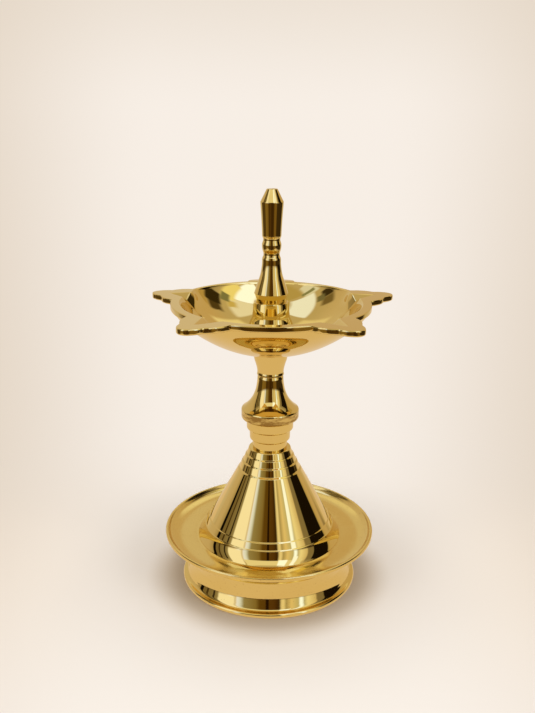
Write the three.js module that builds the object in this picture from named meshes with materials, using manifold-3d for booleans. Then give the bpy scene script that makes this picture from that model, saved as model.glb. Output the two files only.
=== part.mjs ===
// A turned brass pedestal lamp with five wicks: a scalloped oil bowl on a stepped cone,
// standing in a drip tray on a hollow foot, and screwed together along its axis.
// Sizes are in millimetres, +Z is up, and the origin is on the lamp's axis at the floor.
import * as THREE from 'three';
import { mergeVertices } from 'three/addons/utils/BufferGeometryUtils.js';
import { ConvexGeometry } from 'three/addons/geometries/ConvexGeometry.js';
import Module from 'manifold-3d';

const lampHeight = 178; // floor to the finial's tip

// Screws along the axis
const rodRadius = 3; // tie rod and studs
const boreClearance = 0.3; // between a rod and its bore, all round
const rodDropBelowNut = 2; // end of the tie rod below the base nut
const rodReachInKnop = 20.5;
const bowlStudInKnop = 9.1;
const bowlStudInNeck = 7.9;
const finialStudInBoss = 9.5;
const finialStudInFinial = 8.5;
const studEndGap = 0.3; // between a stud's end and the end of its bore
const nutHeight = 5;
const nutWidth = 10; // across the flats
const nutSides = 6;
const washerRadius = 8;
const washerThickness = 1.2;

// Foot and drip tray
const footRadius = 40;
const footLipHeight = 2.4; // rounded bead that the lamp stands on
const footRingWidth = 3.6; // foot's outer edge to the inner edge of its flat ring
const heelRadius = 37.3; // where the flare starts above the bead
const heelHeight = 3.8;
const waistRadius = 34;
const waistHeight = 10.2;
const flareHollow = 0.5; // how far each curve swings in from the straight line
const undersideHollow = 3.2;
const trayWall = 2.4;
const trayFloorHeight = 21;
const trayFloorDish = 0.7; // rise of the tray floor from the cone to the rim
const trayRimRadius = 47.7;
const trayRimRise = 3.6; // rim above the floor where the cone stands
const trayRimEdge = 0.7; // rounding of the rim's edges
const trayRimDepth = 2; // height of the rim's outer edge, round to round
const trayLipWidth = 3.3;
const plateauRise = 1.2; // raised centre that locates the cone
const plateauClearance = 0.4;
const footRoofCorner = 2.6;

// Stepped cone
const coneWall = 2.4;
const skirtRadius = 32.8;
const skirtBoreRadius = 29.4;
const skirtHeight = 5.5;
const skirtTopRadius = 29.5;
const skirtHollow = 0.5;
const skirtBandHeight = 2.5;
const skirtBandLean = 1.5; // how much narrower the band is at its top
const ledgeWidth = 0.4; // small bright ledges above and below the band
const ledgeHeight = 0.3;
const collarCount = 3;
const collarHeight = 3.4;
const collarLean = 1; // how much wider a collar gets down its side
const collarLedge = 0.65; // ledge below each collar, out and down
const collarLedgeDrop = 0.55;
const topCollarRadius = 9.35;
const coneTopRound = 0.8;
const coneTopThickness = 4;
const spigotRadius = 5.5; // locates the knop in the cone's top
const spigotLength = 2;
const spigotClearance = 0.3;

// Knop between the cone and the bowl
const knopNeckRadius = 7.7;
const knopNeckHeight = 3.8;
const lowerStepRadius = 9.1;
const lowerStepHeight = 4.9;
const upperStepRadius = 10.4;
const upperStepHeight = 5;
const discRadius = 12.8;
const discHeight = 4.9;
const stepRound = 0.4;
const bellFootRadius = 11.9;
const bellHeight = 15;
const bellHollow = 1.9;
const knopTopRadius = 5.7;
const knopGroove = 0.35;
const knopBandHeight = 1.3;

// Oil bowl
const neckRadius = 5.8;
const neckHeight = 8.5; // joint face to the lowest point of the bowl's sphere
const neckSweepRadius = 7; // where the neck's sweep would meet the line of the bowl
const neckTopRadius = 11;
const mouthRadius = 42.75; // outside of the bowl where it meets the rim plate
const bowlDepth = 20.4; // lowest point of the outside up to the rim plate
const bowlWall = 2.3;
const rimThickness = 2.4; // flat rim plate that carries the spouts
const rimOverhang = 0.45; // rim plate beyond the bowl between the spouts
const rimInnerRound = 0.8;
const bossRadius = 7.5; // post in the bowl that carries the finial
const bossRise = 0.1; // boss above the rim
const bossTaper = 0.8; // widening down the boss to its flare
const bossFlareDrop = 6.9; // top of the boss to its flare
const bossFootRadius = 16.5;
const bossHollow = 2.6;

// Spouts and the wick channels cut in them
const frontSpoutLength = 15.2; // rim to tip; the tips are filed by hand and differ a little
const rightSpoutLength = 13.8;
const backSpoutLength = 14.4;
const leftSpoutLength = 12.6;
const firstSpoutAngle = 36; // degrees from the front
const rightSideAngle = 90; // degrees, the front to +x, where angles about the axis start
const spoutHalfAngle = 15.3; // degrees, spout axis to the corner on the rim
const notchSetback = 6.6; // tip back to the notch between a spout's two scallops
const notchHalfWidth = 6;
const tipHalfWidth = 2.8;
const tipLength = 1;
const rootScallop = 1.2; // swell of each scallop
const tipScallop = 0.5;
const channelSetback = 7.5; // tip back to the end of the wick channel
const channelInset = 1.75; // mouth back to where the channel is deepest and widest
const channelDepth = 2.4;
const channelHalfWidth = 6.5;
const dartInset = 8.05; // mouth back to where the channel runs out inside the bowl

// Finial
const finialCollarRadius = 6.65;
const finialCollarHeight = 1.8;
const finialBellRadius = 7.4;
const finialBellEdge = 1.9; // chamfer up to the bell's sharp edge
const finialBellHeight = 13.2;
const finialBellHollow = 0.55;
const finialNeckRadius = 4;
const finialNeckHeight = 1.6;
const finialGrooveRadius = 3.4;
const finialGrooveHeight = 1.8;
const finialBeadRadius = 4.1;
const finialBeadHeight = 4.2;
const finialWaistRadius = 3.6;
const finialWaistHeight = 2.5;
const finialShaftFootHeight = 1.3;
const finialShaftFootRadius = 4.1;
const finialShaftRadius = 4.9;
const finialShaftHeight = 13.9;
const finialShaftHollow = 0.15;
const finialTipRadius = 2.25;
const finialTipHeight = 5.3;

// Fineness of the turned shapes
const curveSteps = 4;
const traySides = 48;
const coneSides = 40;
const knopSides = 32;
const bowlSides = 50;
const finialSides = 24;
const rodSides = 20;

// Heights worked out up the lamp; the cone takes what the other pieces leave
const trayPlateBottom = trayFloorHeight - trayWall;
const washerBottom = trayPlateBottom - washerThickness;
const nutBottom = washerBottom - nutHeight;
const boreRadius = rodRadius + boreClearance;
const knopHeight = knopNeckHeight + lowerStepHeight + upperStepHeight + discHeight
  + bellHeight + knopGroove + knopBandHeight + knopGroove;
const bowlHeight = neckHeight + bowlDepth + rimThickness + bossRise;
const finialHeight = finialCollarHeight + finialBellEdge + finialBellHeight + finialNeckHeight
  + finialGrooveHeight + finialBeadHeight + finialWaistHeight + finialShaftFootHeight
  + finialShaftHeight + finialTipHeight;
const coneTop = lampHeight - finialHeight - bowlHeight - knopHeight;
const knopTop = coneTop + knopHeight;
const bowlBottom = knopTop + neckHeight;
const rimBottom = bowlBottom + bowlDepth;
const rimTop = rimBottom + rimThickness;
const bossTop = rimTop + bossRise;

// The bowl is part of a sphere through its lowest point and its mouth
const bowlRadius = (mouthRadius ** 2 + bowlDepth ** 2) / (2 * bowlDepth);
const innerRadius = bowlRadius - bowlWall;
const sphereCentre = bowlBottom + bowlRadius;
const innerRimHeight = rimTop - rimInnerRound;
const innerRimRadius = Math.sqrt(innerRadius ** 2 - (sphereCentre - innerRimHeight) ** 2);

// The five spouts, from the front right round to the front left
const rimRadius = mouthRadius + rimOverhang;
const spoutReaches = [
  frontSpoutLength, rightSpoutLength, backSpoutLength, leftSpoutLength, frontSpoutLength,
].map((length) => rimRadius + length);

const wasm = await Module();
wasm.setup();

const brass = { color: 0xcba85c, metalness: 1, roughness: 0.2 };
const steel = { color: 0xa8a9a6, metalness: 1, roughness: 0.4 };

// Outline of a turned piece, as radius and height: up the outside and down the inside.
function outlineFrom(radius, height) {
  const outline = new THREE.Path();
  outline.moveTo(radius, height);
  return outline;
}

// Curves on to (radius, height), swinging out to the right of the straight line by bulge.
function bowTo(outline, radius, height, bulge) {
  const from = outline.currentPoint.clone();
  const to = new THREE.Vector2(radius, height);
  const along = to.clone().sub(from).normalize();
  const middle = from.clone().lerp(to, 0.5);
  const right = new THREE.Vector2(along.y, -along.x);
  const control = middle.addScaledVector(right, 2 * bulge);
  outline.quadraticCurveTo(control.x, control.y, radius, height);
}

// Turns an outline about the lamp's axis.
function turned(outline, sides) {
  const geometry = new THREE.LatheGeometry(outline.getPoints(curveSteps), sides);
  geometry.rotateX(Math.PI / 2);
  return geometry;
}

function piece(name, geometry, finish) {
  const mesh = new THREE.Mesh(geometry, new THREE.MeshStandardMaterial(finish));
  mesh.name = name;
  return mesh;
}

// A closed mesh as a solid that can be joined and cut.
function solid(geometry) {
  const bare = geometry.clone();
  bare.deleteAttribute('normal');
  bare.deleteAttribute('uv');
  const merged = mergeVertices(bare);
  const corners = Array.from(merged.index.array);
  const kept = [];
  for (let i = 0; i < corners.length; i += 3) {
    const [a, b, c] = corners.slice(i, i + 3);
    if (a !== b && b !== c && c !== a) kept.push(a, b, c);
  }
  return new wasm.Manifold(new wasm.Mesh({
    numProp: 3,
    vertProperties: new Float32Array(merged.attributes.position.array),
    triVerts: new Uint32Array(kept),
  }));
}

function geometryOf(body) {
  const mesh = body.getMesh();
  const geometry = new THREE.BufferGeometry();
  geometry.setAttribute('position', new THREE.BufferAttribute(mesh.vertProperties, 3));
  geometry.setIndex(new THREE.BufferAttribute(mesh.triVerts, 1));
  geometry.computeVertexNormals();
  return geometry;
}

// Height of a sphere's lower half at a radius from the axis.
function sphereHeight(sphereRadius, radius) {
  return sphereCentre - Math.sqrt(sphereRadius ** 2 - radius ** 2);
}

// Angle of a point on a sphere's lower half, measured from the horizontal.
function sphereAngle(sphereRadius, radius) {
  return -Math.acos(radius / sphereRadius);
}

function baseTray() {
  const beadRadius = footLipHeight / 2;
  const floorEdge = trayRimRadius - trayLipWidth;
  const rimTopHeight = trayFloorHeight + trayRimRise;
  const plateauRadius = skirtBoreRadius - plateauClearance;
  const innerWaist = waistRadius - trayWall;
  const footInner = footRadius - footRingWidth;
  const outline = outlineFrom(footInner, 0);
  outline.lineTo(footRadius - beadRadius, 0);
  outline.absarc(footRadius - beadRadius, beadRadius, beadRadius, -Math.PI / 2, Math.PI / 3);
  outline.quadraticCurveTo(heelRadius, footLipHeight, heelRadius, heelHeight);
  bowTo(outline, waistRadius, waistHeight, -flareHollow);
  bowTo(outline, trayRimRadius - trayRimEdge, rimTopHeight - trayRimDepth, -undersideHollow);
  outline.quadraticCurveTo(trayRimRadius, rimTopHeight - trayRimDepth,
    trayRimRadius, rimTopHeight - trayRimDepth + trayRimEdge);
  outline.lineTo(trayRimRadius, rimTopHeight - trayRimEdge);
  outline.quadraticCurveTo(trayRimRadius, rimTopHeight, trayRimRadius - trayRimEdge, rimTopHeight);
  outline.lineTo(floorEdge, trayFloorHeight + trayFloorDish);
  outline.lineTo(skirtRadius, trayFloorHeight);
  outline.lineTo(plateauRadius, trayFloorHeight);
  outline.lineTo(plateauRadius, trayFloorHeight + plateauRise);
  outline.lineTo(boreRadius, trayFloorHeight + plateauRise);
  outline.lineTo(boreRadius, trayPlateBottom);
  outline.lineTo(innerWaist - footRoofCorner, trayPlateBottom);
  outline.quadraticCurveTo(innerWaist, trayPlateBottom, innerWaist, trayPlateBottom - footRoofCorner);
  outline.lineTo(innerWaist, waistHeight);
  bowTo(outline, footInner, 0, flareHollow);
  return turned(outline, traySides);
}

function coneStem() {
  const bottom = trayFloorHeight;
  const bandBottom = bottom + skirtHeight + ledgeHeight;
  const bandTop = bandBottom + skirtBandHeight;
  const bandTopRadius = skirtTopRadius - ledgeWidth - skirtBandLean;
  const collarFoot = topCollarRadius + collarCount * (collarLean + collarLedge);
  const collarFootHeight = coneTop - collarCount * collarHeight;
  const coneFoot = bandTopRadius - ledgeWidth;
  const coneFootHeight = bandTop + ledgeHeight;
  const lean = (coneFoot - collarFoot) / (collarFootHeight - coneFootHeight);
  const wallAcross = coneWall * Math.hypot(1, lean);
  const plateBottom = coneTop - coneTopThickness;
  const innerTop = collarFoot - lean * (plateBottom - collarFootHeight) - wallAcross;
  const innerFoot = coneFoot + lean * (coneFootHeight - bandBottom) - wallAcross;
  const seatRadius = spigotRadius + spigotClearance;
  const seatBottom = coneTop - spigotLength - spigotClearance;
  const outline = outlineFrom(skirtBoreRadius, bottom);
  outline.lineTo(skirtRadius, bottom);
  bowTo(outline, skirtTopRadius, bottom + skirtHeight, -skirtHollow);
  outline.lineTo(skirtTopRadius - ledgeWidth, bandBottom);
  outline.lineTo(bandTopRadius, bandTop);
  outline.lineTo(coneFoot, coneFootHeight);
  outline.lineTo(collarFoot, collarFootHeight);
  for (let collar = collarCount - 1; collar >= 0; collar -= 1) {
    const topRadius = topCollarRadius + collar * (collarLean + collarLedge);
    const ledgeTop = coneTop - (collar + 1) * collarHeight + collarLedgeDrop;
    outline.lineTo(topRadius + collarLean, ledgeTop);
    if (collar > 0) outline.lineTo(topRadius, coneTop - collar * collarHeight);
  }
  outline.lineTo(topCollarRadius, coneTop - coneTopRound);
  outline.quadraticCurveTo(topCollarRadius, coneTop, topCollarRadius - coneTopRound, coneTop);
  outline.lineTo(seatRadius, coneTop);
  outline.lineTo(seatRadius, seatBottom);
  outline.lineTo(boreRadius, seatBottom);
  outline.lineTo(boreRadius, plateBottom);
  outline.lineTo(innerTop, plateBottom);
  outline.lineTo(innerFoot, bandBottom);
  outline.lineTo(skirtBoreRadius, trayFloorHeight + plateauRise + plateauClearance);
  outline.lineTo(skirtBoreRadius, bottom);
  return turned(outline, coneSides);
}

function knop() {
  const steps = [
    { radius: knopNeckRadius, height: knopNeckHeight },
    { radius: lowerStepRadius, height: lowerStepHeight },
    { radius: upperStepRadius, height: upperStepHeight },
    { radius: discRadius, height: discHeight },
  ];
  const outline = outlineFrom(boreRadius, coneTop - spigotLength);
  outline.lineTo(spigotRadius, coneTop - spigotLength);
  outline.lineTo(spigotRadius, coneTop);
  let height = coneTop;
  for (const step of steps) {
    outline.lineTo(step.radius - stepRound, height);
    outline.lineTo(step.radius, height + stepRound);
    height += step.height;
    outline.lineTo(step.radius, height - stepRound);
  }
  outline.lineTo(bellFootRadius, height);
  height += bellHeight;
  bowTo(outline, knopTopRadius, height, -bellHollow);
  outline.lineTo(knopTopRadius - knopGroove, height + knopGroove);
  outline.lineTo(knopTopRadius, height + 2 * knopGroove);
  outline.lineTo(knopTopRadius, knopTop);
  outline.lineTo(boreRadius, knopTop);
  outline.lineTo(boreRadius, coneTop - spigotLength);
  return turned(outline, knopSides);
}

// The bowl with its neck and boss, turned in one piece, up to the rim's underside outside.
function turnedBowl() {
  const neckTopHeight = sphereHeight(bowlRadius, neckTopRadius);
  const sweepSlope = neckTopRadius / Math.sqrt(bowlRadius ** 2 - neckTopRadius ** 2);
  const sweepHeight = neckTopHeight - sweepSlope * (neckTopRadius - neckSweepRadius);
  const flareTop = bossTop - bossFlareDrop;
  const neckBoreTop = knopTop + bowlStudInNeck + studEndGap;
  const bossBoreBottom = bossTop - finialStudInBoss - studEndGap;
  const outline = outlineFrom(0, neckBoreTop);
  outline.lineTo(boreRadius, neckBoreTop);
  outline.lineTo(boreRadius, knopTop);
  outline.lineTo(neckRadius, knopTop);
  outline.quadraticCurveTo(neckSweepRadius, sweepHeight, neckTopRadius, neckTopHeight);
  outline.absarc(0, sphereCentre, bowlRadius,
    sphereAngle(bowlRadius, neckTopRadius), sphereAngle(bowlRadius, mouthRadius));
  outline.lineTo(mouthRadius, rimTop);
  outline.lineTo(innerRimRadius + rimInnerRound, rimTop);
  outline.quadraticCurveTo(innerRimRadius, rimTop, innerRimRadius, innerRimHeight);
  outline.absarc(0, sphereCentre, innerRadius,
    sphereAngle(innerRadius, innerRimRadius), sphereAngle(innerRadius, bossFootRadius), true);
  bowTo(outline, bossRadius + bossTaper, flareTop, -bossHollow);
  outline.lineTo(bossRadius, bossTop);
  outline.lineTo(boreRadius, bossTop);
  outline.lineTo(boreRadius, bossBoreBottom);
  outline.lineTo(0, bossBoreBottom);
  return turned(outline, bowlSides);
}

// A point of the rim plate: along a spout's axis and across it, turned to the spout's place.
function onSpout(spout, along, across) {
  const turn = firstSpoutAngle + spout * 360 / spoutReaches.length - rightSideAngle;
  return new THREE.Vector2(along, across).rotateAround(new THREE.Vector2(), THREE.MathUtils.degToRad(turn));
}

// Flat rim with five scalloped spouts, open over the bowl.
function rimPlate() {
  const cornerAlong = rimRadius * Math.cos(THREE.MathUtils.degToRad(spoutHalfAngle));
  const cornerAcross = rimRadius * Math.sin(THREE.MathUtils.degToRad(spoutHalfAngle));
  const plate = new THREE.Shape();
  spoutReaches.forEach((reach, spout) => {
    const corners = [
      { along: cornerAlong, across: -cornerAcross },
      { along: reach - notchSetback, across: -notchHalfWidth, bulge: rootScallop },
      { along: reach - tipLength, across: -tipHalfWidth, bulge: tipScallop },
      { along: reach - tipLength, across: tipHalfWidth, bulge: tipLength },
      { along: reach - notchSetback, across: notchHalfWidth, bulge: tipScallop },
      { along: cornerAlong, across: cornerAcross, bulge: rootScallop },
    ];
    corners.forEach((corner, place) => {
      const point = onSpout(spout, corner.along, corner.across);
      if (place > 0) {
        bowTo(plate, point.x, point.y, corner.bulge);
      } else if (spout > 0) {
        const last = plate.currentPoint.angle();
        plate.absarc(0, 0, rimRadius, last, point.angle());
      } else {
        plate.moveTo(point.x, point.y);
      }
    });
  });
  const first = onSpout(0, cornerAlong, -cornerAcross);
  plate.absarc(0, 0, rimRadius, plate.currentPoint.angle(), first.angle());
  const opening = (innerRimRadius + rimInnerRound + mouthRadius) / 2;
  plate.holes.push(new THREE.Path(new THREE.EllipseCurve(0, 0, opening, opening).getPoints(bowlSides)));
  const geometry = new THREE.ExtrudeGeometry(plate, {
    depth: rimThickness,
    bevelEnabled: false,
    curveSegments: curveSteps,
  });
  return geometry.translate(0, 0, rimBottom);
}

// Two wedges that cut one wick channel: a crease out along the spout, and a dart down the
// inside of the bowl. Both start from the channel's lowest and widest section.
function channelCutter(spout) {
  const channelRadius = mouthRadius - channelInset;
  const dartRadius = mouthRadius - dartInset;
  const lowest = new THREE.Vector3(channelRadius, 0, rimTop - channelDepth);
  const left = new THREE.Vector3(channelRadius, channelHalfWidth, rimTop);
  const right = new THREE.Vector3(channelRadius, -channelHalfWidth, rimTop);
  const outerEnd = new THREE.Vector3(spoutReaches[spout] - channelSetback, 0, rimTop);
  const dartTip = new THREE.Vector3(dartRadius, 0, sphereHeight(innerRadius, dartRadius));
  const overrun = 1.3;
  const beyond = (corner) => corner.clone().sub(lowest).multiplyScalar(overrun).add(lowest);
  const wedgeTo = (end) => {
    const wedge = new ConvexGeometry([lowest, beyond(left), beyond(right), beyond(end)]);
    wedge.rotateZ(onSpout(spout, 1, 0).angle());
    return solid(wedge);
  };
  return wedgeTo(outerEnd).add(wedgeTo(dartTip));
}

function oilBowl() {
  let bowl = solid(turnedBowl()).add(solid(rimPlate()));
  for (let spout = 0; spout < spoutReaches.length; spout += 1) {
    bowl = bowl.subtract(channelCutter(spout));
  }
  return geometryOf(bowl);
}

function finial() {
  const boreTop = bossTop + finialStudInFinial + studEndGap;
  const bellTop = bossTop + finialCollarHeight + finialBellEdge + finialBellHeight;
  const grooveMiddle = bellTop + finialNeckHeight + finialGrooveHeight;
  const beadMiddle = grooveMiddle + finialBeadHeight;
  const waist = beadMiddle + finialWaistHeight;
  const shaftFoot = waist + finialShaftFootHeight;
  const shaftTop = shaftFoot + finialShaftHeight;
  const outline = outlineFrom(0, boreTop);
  outline.lineTo(boreRadius, boreTop);
  outline.lineTo(boreRadius, bossTop);
  outline.lineTo(finialCollarRadius, bossTop);
  outline.lineTo(finialCollarRadius, bossTop + finialCollarHeight);
  outline.lineTo(finialBellRadius, bossTop + finialCollarHeight + finialBellEdge);
  bowTo(outline, finialNeckRadius, bellTop, -finialBellHollow);
  outline.lineTo(finialNeckRadius, bellTop + finialNeckHeight);
  bowTo(outline, finialGrooveRadius, grooveMiddle, 0);
  bowTo(outline, finialBeadRadius, beadMiddle, -finialShaftHollow);
  outline.lineTo(finialWaistRadius, waist);
  outline.lineTo(finialShaftFootRadius, shaftFoot);
  bowTo(outline, finialShaftRadius, shaftTop, -finialShaftHollow);
  outline.lineTo(finialTipRadius, shaftTop + finialTipHeight);
  outline.lineTo(0, shaftTop + finialTipHeight);
  return turned(outline, finialSides);
}

// A plain round bar on the axis, standing for a threaded rod.
function bar(bottom, top) {
  const geometry = new THREE.CylinderGeometry(rodRadius, rodRadius, top - bottom, rodSides);
  geometry.rotateX(Math.PI / 2);
  return geometry.translate(0, 0, (bottom + top) / 2);
}

// A flat shape with a round bore, extruded up from a height.
function boredPlate(shape, bottom, thickness) {
  const bore = new THREE.Path();
  bore.absarc(0, 0, boreRadius, 0, 2 * Math.PI);
  shape.holes.push(bore);
  const geometry = new THREE.ExtrudeGeometry(shape, {
    depth: thickness,
    bevelEnabled: false,
    curveSegments: rodSides,
  });
  return geometry.translate(0, 0, bottom);
}

function baseWasher() {
  const disc = new THREE.Shape();
  disc.absarc(0, 0, washerRadius, 0, 2 * Math.PI);
  return boredPlate(disc, washerBottom, washerThickness);
}

function baseNut() {
  const corners = [];
  const cornerRadius = nutWidth / 2 / Math.cos(Math.PI / nutSides);
  for (let corner = 0; corner < nutSides; corner += 1) {
    const angle = corner * 2 * Math.PI / nutSides;
    corners.push(new THREE.Vector2(cornerRadius, 0).rotateAround(new THREE.Vector2(), angle));
  }
  return boredPlate(new THREE.Shape(corners), nutBottom, nutHeight);
}

const lamp = new THREE.Group();
lamp.name = 'pedestal_diya';
lamp.add(piece('base_tray', baseTray(), brass));
lamp.add(piece('cone_stem', coneStem(), brass));
lamp.add(piece('knop', knop(), brass));
lamp.add(piece('oil_bowl', oilBowl(), brass));
lamp.add(piece('finial', finial(), brass));
lamp.add(piece('tie_rod', bar(nutBottom - rodDropBelowNut, coneTop + rodReachInKnop), steel));
lamp.add(piece('bowl_stud', bar(knopTop - bowlStudInKnop, knopTop + bowlStudInNeck), brass));
lamp.add(piece('finial_stud', bar(bossTop - finialStudInBoss, bossTop + finialStudInFinial), brass));
lamp.add(piece('base_washer', baseWasher(), steel));
lamp.add(piece('base_nut', baseNut(), steel));

export default lamp;
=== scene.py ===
import math
import random

import bpy
from mathutils import Matrix, Vector


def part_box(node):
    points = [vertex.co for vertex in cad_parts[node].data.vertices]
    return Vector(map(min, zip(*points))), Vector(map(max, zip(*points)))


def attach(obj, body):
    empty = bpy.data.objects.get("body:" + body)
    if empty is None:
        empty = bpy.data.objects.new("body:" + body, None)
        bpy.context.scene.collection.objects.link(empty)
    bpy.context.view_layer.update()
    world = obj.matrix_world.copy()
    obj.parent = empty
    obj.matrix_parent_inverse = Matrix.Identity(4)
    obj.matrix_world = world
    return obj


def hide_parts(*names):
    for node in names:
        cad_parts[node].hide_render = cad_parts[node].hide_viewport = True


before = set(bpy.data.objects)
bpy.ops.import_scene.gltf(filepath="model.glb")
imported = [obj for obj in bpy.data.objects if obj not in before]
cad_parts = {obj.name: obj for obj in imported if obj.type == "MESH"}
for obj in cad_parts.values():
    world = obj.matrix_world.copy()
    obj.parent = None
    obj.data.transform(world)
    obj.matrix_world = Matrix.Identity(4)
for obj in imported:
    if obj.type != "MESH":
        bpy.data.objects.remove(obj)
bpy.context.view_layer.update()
print("frame loaded")

mm = 0.001
fullTurn = 2 * math.pi

modelling = {
    "smoothAngle": 30,       # degrees; sharper edges stay edges
    "samePoint": 0.0001,     # points of an outline closer than this become one
    "sameVertex": 0.0005,    # and so do those of a closed piece
    "nearCorner": 0.001,     # finds a corner again by its place
    "largeRound": 0.8,       # roundings from here on get more steps
    "roundSteps": (4, 8),
}


# modelling helpers

def deselectAll():
    if bpy.context.object and bpy.context.object.mode != 'OBJECT':
        bpy.ops.object.mode_set(mode='OBJECT')
    bpy.ops.object.select_all(action='DESELECT')


def pick(piece):  # makes a piece the only selected and active one
    deselectAll()
    piece.select_set(True)
    bpy.context.view_layer.objects.active = piece


def selectPoints(piece, wanted):  # picks vertices by place, in edit mode
    bpy.ops.mesh.select_mode(type='VERT')
    bpy.ops.mesh.select_all(action='DESELECT')
    bpy.ops.object.mode_set(mode='OBJECT')
    for vertex in piece.data.vertices:
        vertex.select = wanted(vertex.co)
    bpy.ops.object.mode_set(mode='EDIT')


def drawOutline(name, outline):
    # one vertex, extruded along the outline; a third number rounds that corner
    deselectAll()
    bpy.ops.mesh.primitive_plane_add(size=1 * mm, location=(0, 0, 0))
    piece = bpy.context.object
    piece.name = piece.data.name = name
    bpy.ops.object.mode_set(mode='EDIT')
    bpy.ops.mesh.merge(type='CENTER')
    bpy.ops.transform.translate(value=(outline[0][0] * mm, 0, outline[0][1] * mm))
    for before, after in zip(outline, outline[1:]):
        step = ((after[0] - before[0]) * mm, 0, (after[1] - before[1]) * mm)
        bpy.ops.mesh.extrude_region_move(TRANSFORM_OT_translate={"value": step})
    bpy.ops.mesh.select_all(action='SELECT')
    bpy.ops.mesh.remove_doubles(threshold=modelling["samePoint"] * mm)
    near = modelling["nearCorner"] * mm
    for rounding in sorted({corner[2] for corner in outline if len(corner) > 2}):
        corners = [Vector((c[0] * mm, 0, c[1] * mm)) for c in outline if len(c) > 2 and c[2] == rounding]
        selectPoints(piece, lambda co: any((co - corner).length < near for corner in corners))
        fewSteps, manySteps = modelling["roundSteps"]
        segments = fewSteps if rounding < modelling["largeRound"] else manySteps
        bpy.ops.mesh.bevel(offset=rounding * mm, offset_type='OFFSET', segments=segments, affect='VERTICES')
    return piece


def closeUp(piece):
    bpy.ops.mesh.select_all(action='SELECT')
    bpy.ops.mesh.remove_doubles(threshold=modelling["sameVertex"] * mm)
    bpy.ops.mesh.normals_make_consistent(inside=False)
    bpy.ops.object.mode_set(mode='OBJECT')
    return piece


def turn(name, outline, steps):  # spins an outline about the lamp's axis
    piece = drawOutline(name, outline)
    bpy.ops.mesh.select_all(action='SELECT')
    bpy.ops.mesh.spin(steps=steps, angle=fullTurn, center=(0, 0, 0), axis=(0, 0, 1))
    return closeUp(piece)


def smooth(piece, angle=modelling["smoothAngle"]):
    pick(piece)
    bpy.ops.object.shade_smooth_by_angle(angle=math.radians(angle))
    bpy.ops.object.modifier_add(type='WEIGHTED_NORMAL')
    piece.modifiers[-1].keep_sharp = True
    bpy.ops.object.modifier_apply(modifier=piece.modifiers[-1].name)


def arc(centre, radius, start, end, count):  # points on a circle, angles in degrees from the radius
    points = []
    for i in range(count + 1):
        angle = math.radians(start + (end - start) * i / count)
        points.append((centre[0] + radius * math.cos(angle), centre[1] + radius * math.sin(angle)))
    return points


def pulled(start, control, end, count):  # a curve pulled towards one point on its way
    points = []
    for i in range(count + 1):
        t = i / count
        points.append(tuple((1 - t) ** 2 * start[k] + 2 * t * (1 - t) * control[k] + t * t * end[k]
                            for k in (0, 1)))
    return points


def bow(start, end, bulge, count):  # a shallow curve, swinging to the right of the straight line
    dx, dz = end[0] - start[0], end[1] - start[1]
    length = math.hypot(dx, dz)
    control = ((start[0] + end[0]) / 2 + dz / length * 2 * bulge,
               (start[1] + end[1]) / 2 - dx / length * 2 * bulge)
    return pulled(start, control, end, count)


def sweep(start, first, second, end, count):  # a longer curve, pulled towards two points on its way
    points = []
    for i in range(count + 1):
        t = i / count
        points.append(tuple((1 - t) ** 3 * start[k] + 3 * t * (1 - t) ** 2 * first[k]
                            + 3 * t * t * (1 - t) * second[k] + t ** 3 * end[k] for k in (0, 1)))
    return points


def finish(piece, body, node, material):
    piece.data.materials.clear()
    piece.data.materials.append(material)
    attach(piece, body)
    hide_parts(node)
    print(f"{piece.name}: {len(piece.data.polygons)} faces")


# brass and steel

def nodeIn(tree, kind, **settings):
    made = tree.nodes.new(kind)
    for key, value in settings.items():
        setattr(made, key, value)
    return made


def feed(tree, socket, value):  # a number, a colour or another node's output
    if isinstance(value, tuple):
        socket.default_value = (*value, 1)
    elif isinstance(value, (int, float)):
        socket.default_value = value
    else:
        tree.links.new(value, socket)


def calc(tree, operation, a, b=0.0):
    made = nodeIn(tree, 'ShaderNodeMath', operation=operation)
    feed(tree, made.inputs[0], a)
    feed(tree, made.inputs[1], b)
    return made.outputs[0]


def noiseOn(tree, vector, scale, detail, roughness=0.55):
    made = nodeIn(tree, 'ShaderNodeTexNoise')
    for socket, value in (('Vector', vector), ('Scale', scale), ('Detail', detail), ('Roughness', roughness)):
        feed(tree, made.inputs[socket], value)
    return made.outputs['Fac']


def stretched(tree, place, scale, turned=(0.0, 0.0, 0.0)):
    made = nodeIn(tree, 'ShaderNodeMapping')
    made.inputs['Scale'].default_value = scale
    made.inputs['Rotation'].default_value = turned
    feed(tree, made.inputs['Vector'], place)
    return made.outputs[0]


def slope(tree, value, low, high, start=0.0, end=1.0, soft=False):  # a ramp, held at both ends
    made = nodeIn(tree, 'ShaderNodeMapRange', interpolation_type='SMOOTHSTEP' if soft else 'LINEAR')
    for socket, number in (('Value', value), ('From Min', low), ('From Max', high),
                           ('To Min', start), ('To Max', end)):
        feed(tree, made.inputs[socket], number)
    return made.outputs[0]


def colourMix(tree, factor, first, second):
    made = nodeIn(tree, 'ShaderNodeMix', data_type='RGBA')
    for place, value in ((0, factor), (6, first), (7, second)):  # 6 and 7 are its colours
        feed(tree, made.inputs[place], value)
    return made.outputs[2]


def shaderMix(tree, factor, first, second):
    made = nodeIn(tree, 'ShaderNodeMixShader')
    for place, value in enumerate((factor, first, second)):
        feed(tree, made.inputs[place], value)
    return made.outputs[0]


def bumpOn(tree, height, distance, over=None):
    made = nodeIn(tree, 'ShaderNodeBump')
    feed(tree, made.inputs['Distance'], distance)
    feed(tree, made.inputs['Height'], height)
    if over is not None:
        feed(tree, made.inputs['Normal'], over)
    return made.outputs[0]


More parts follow.
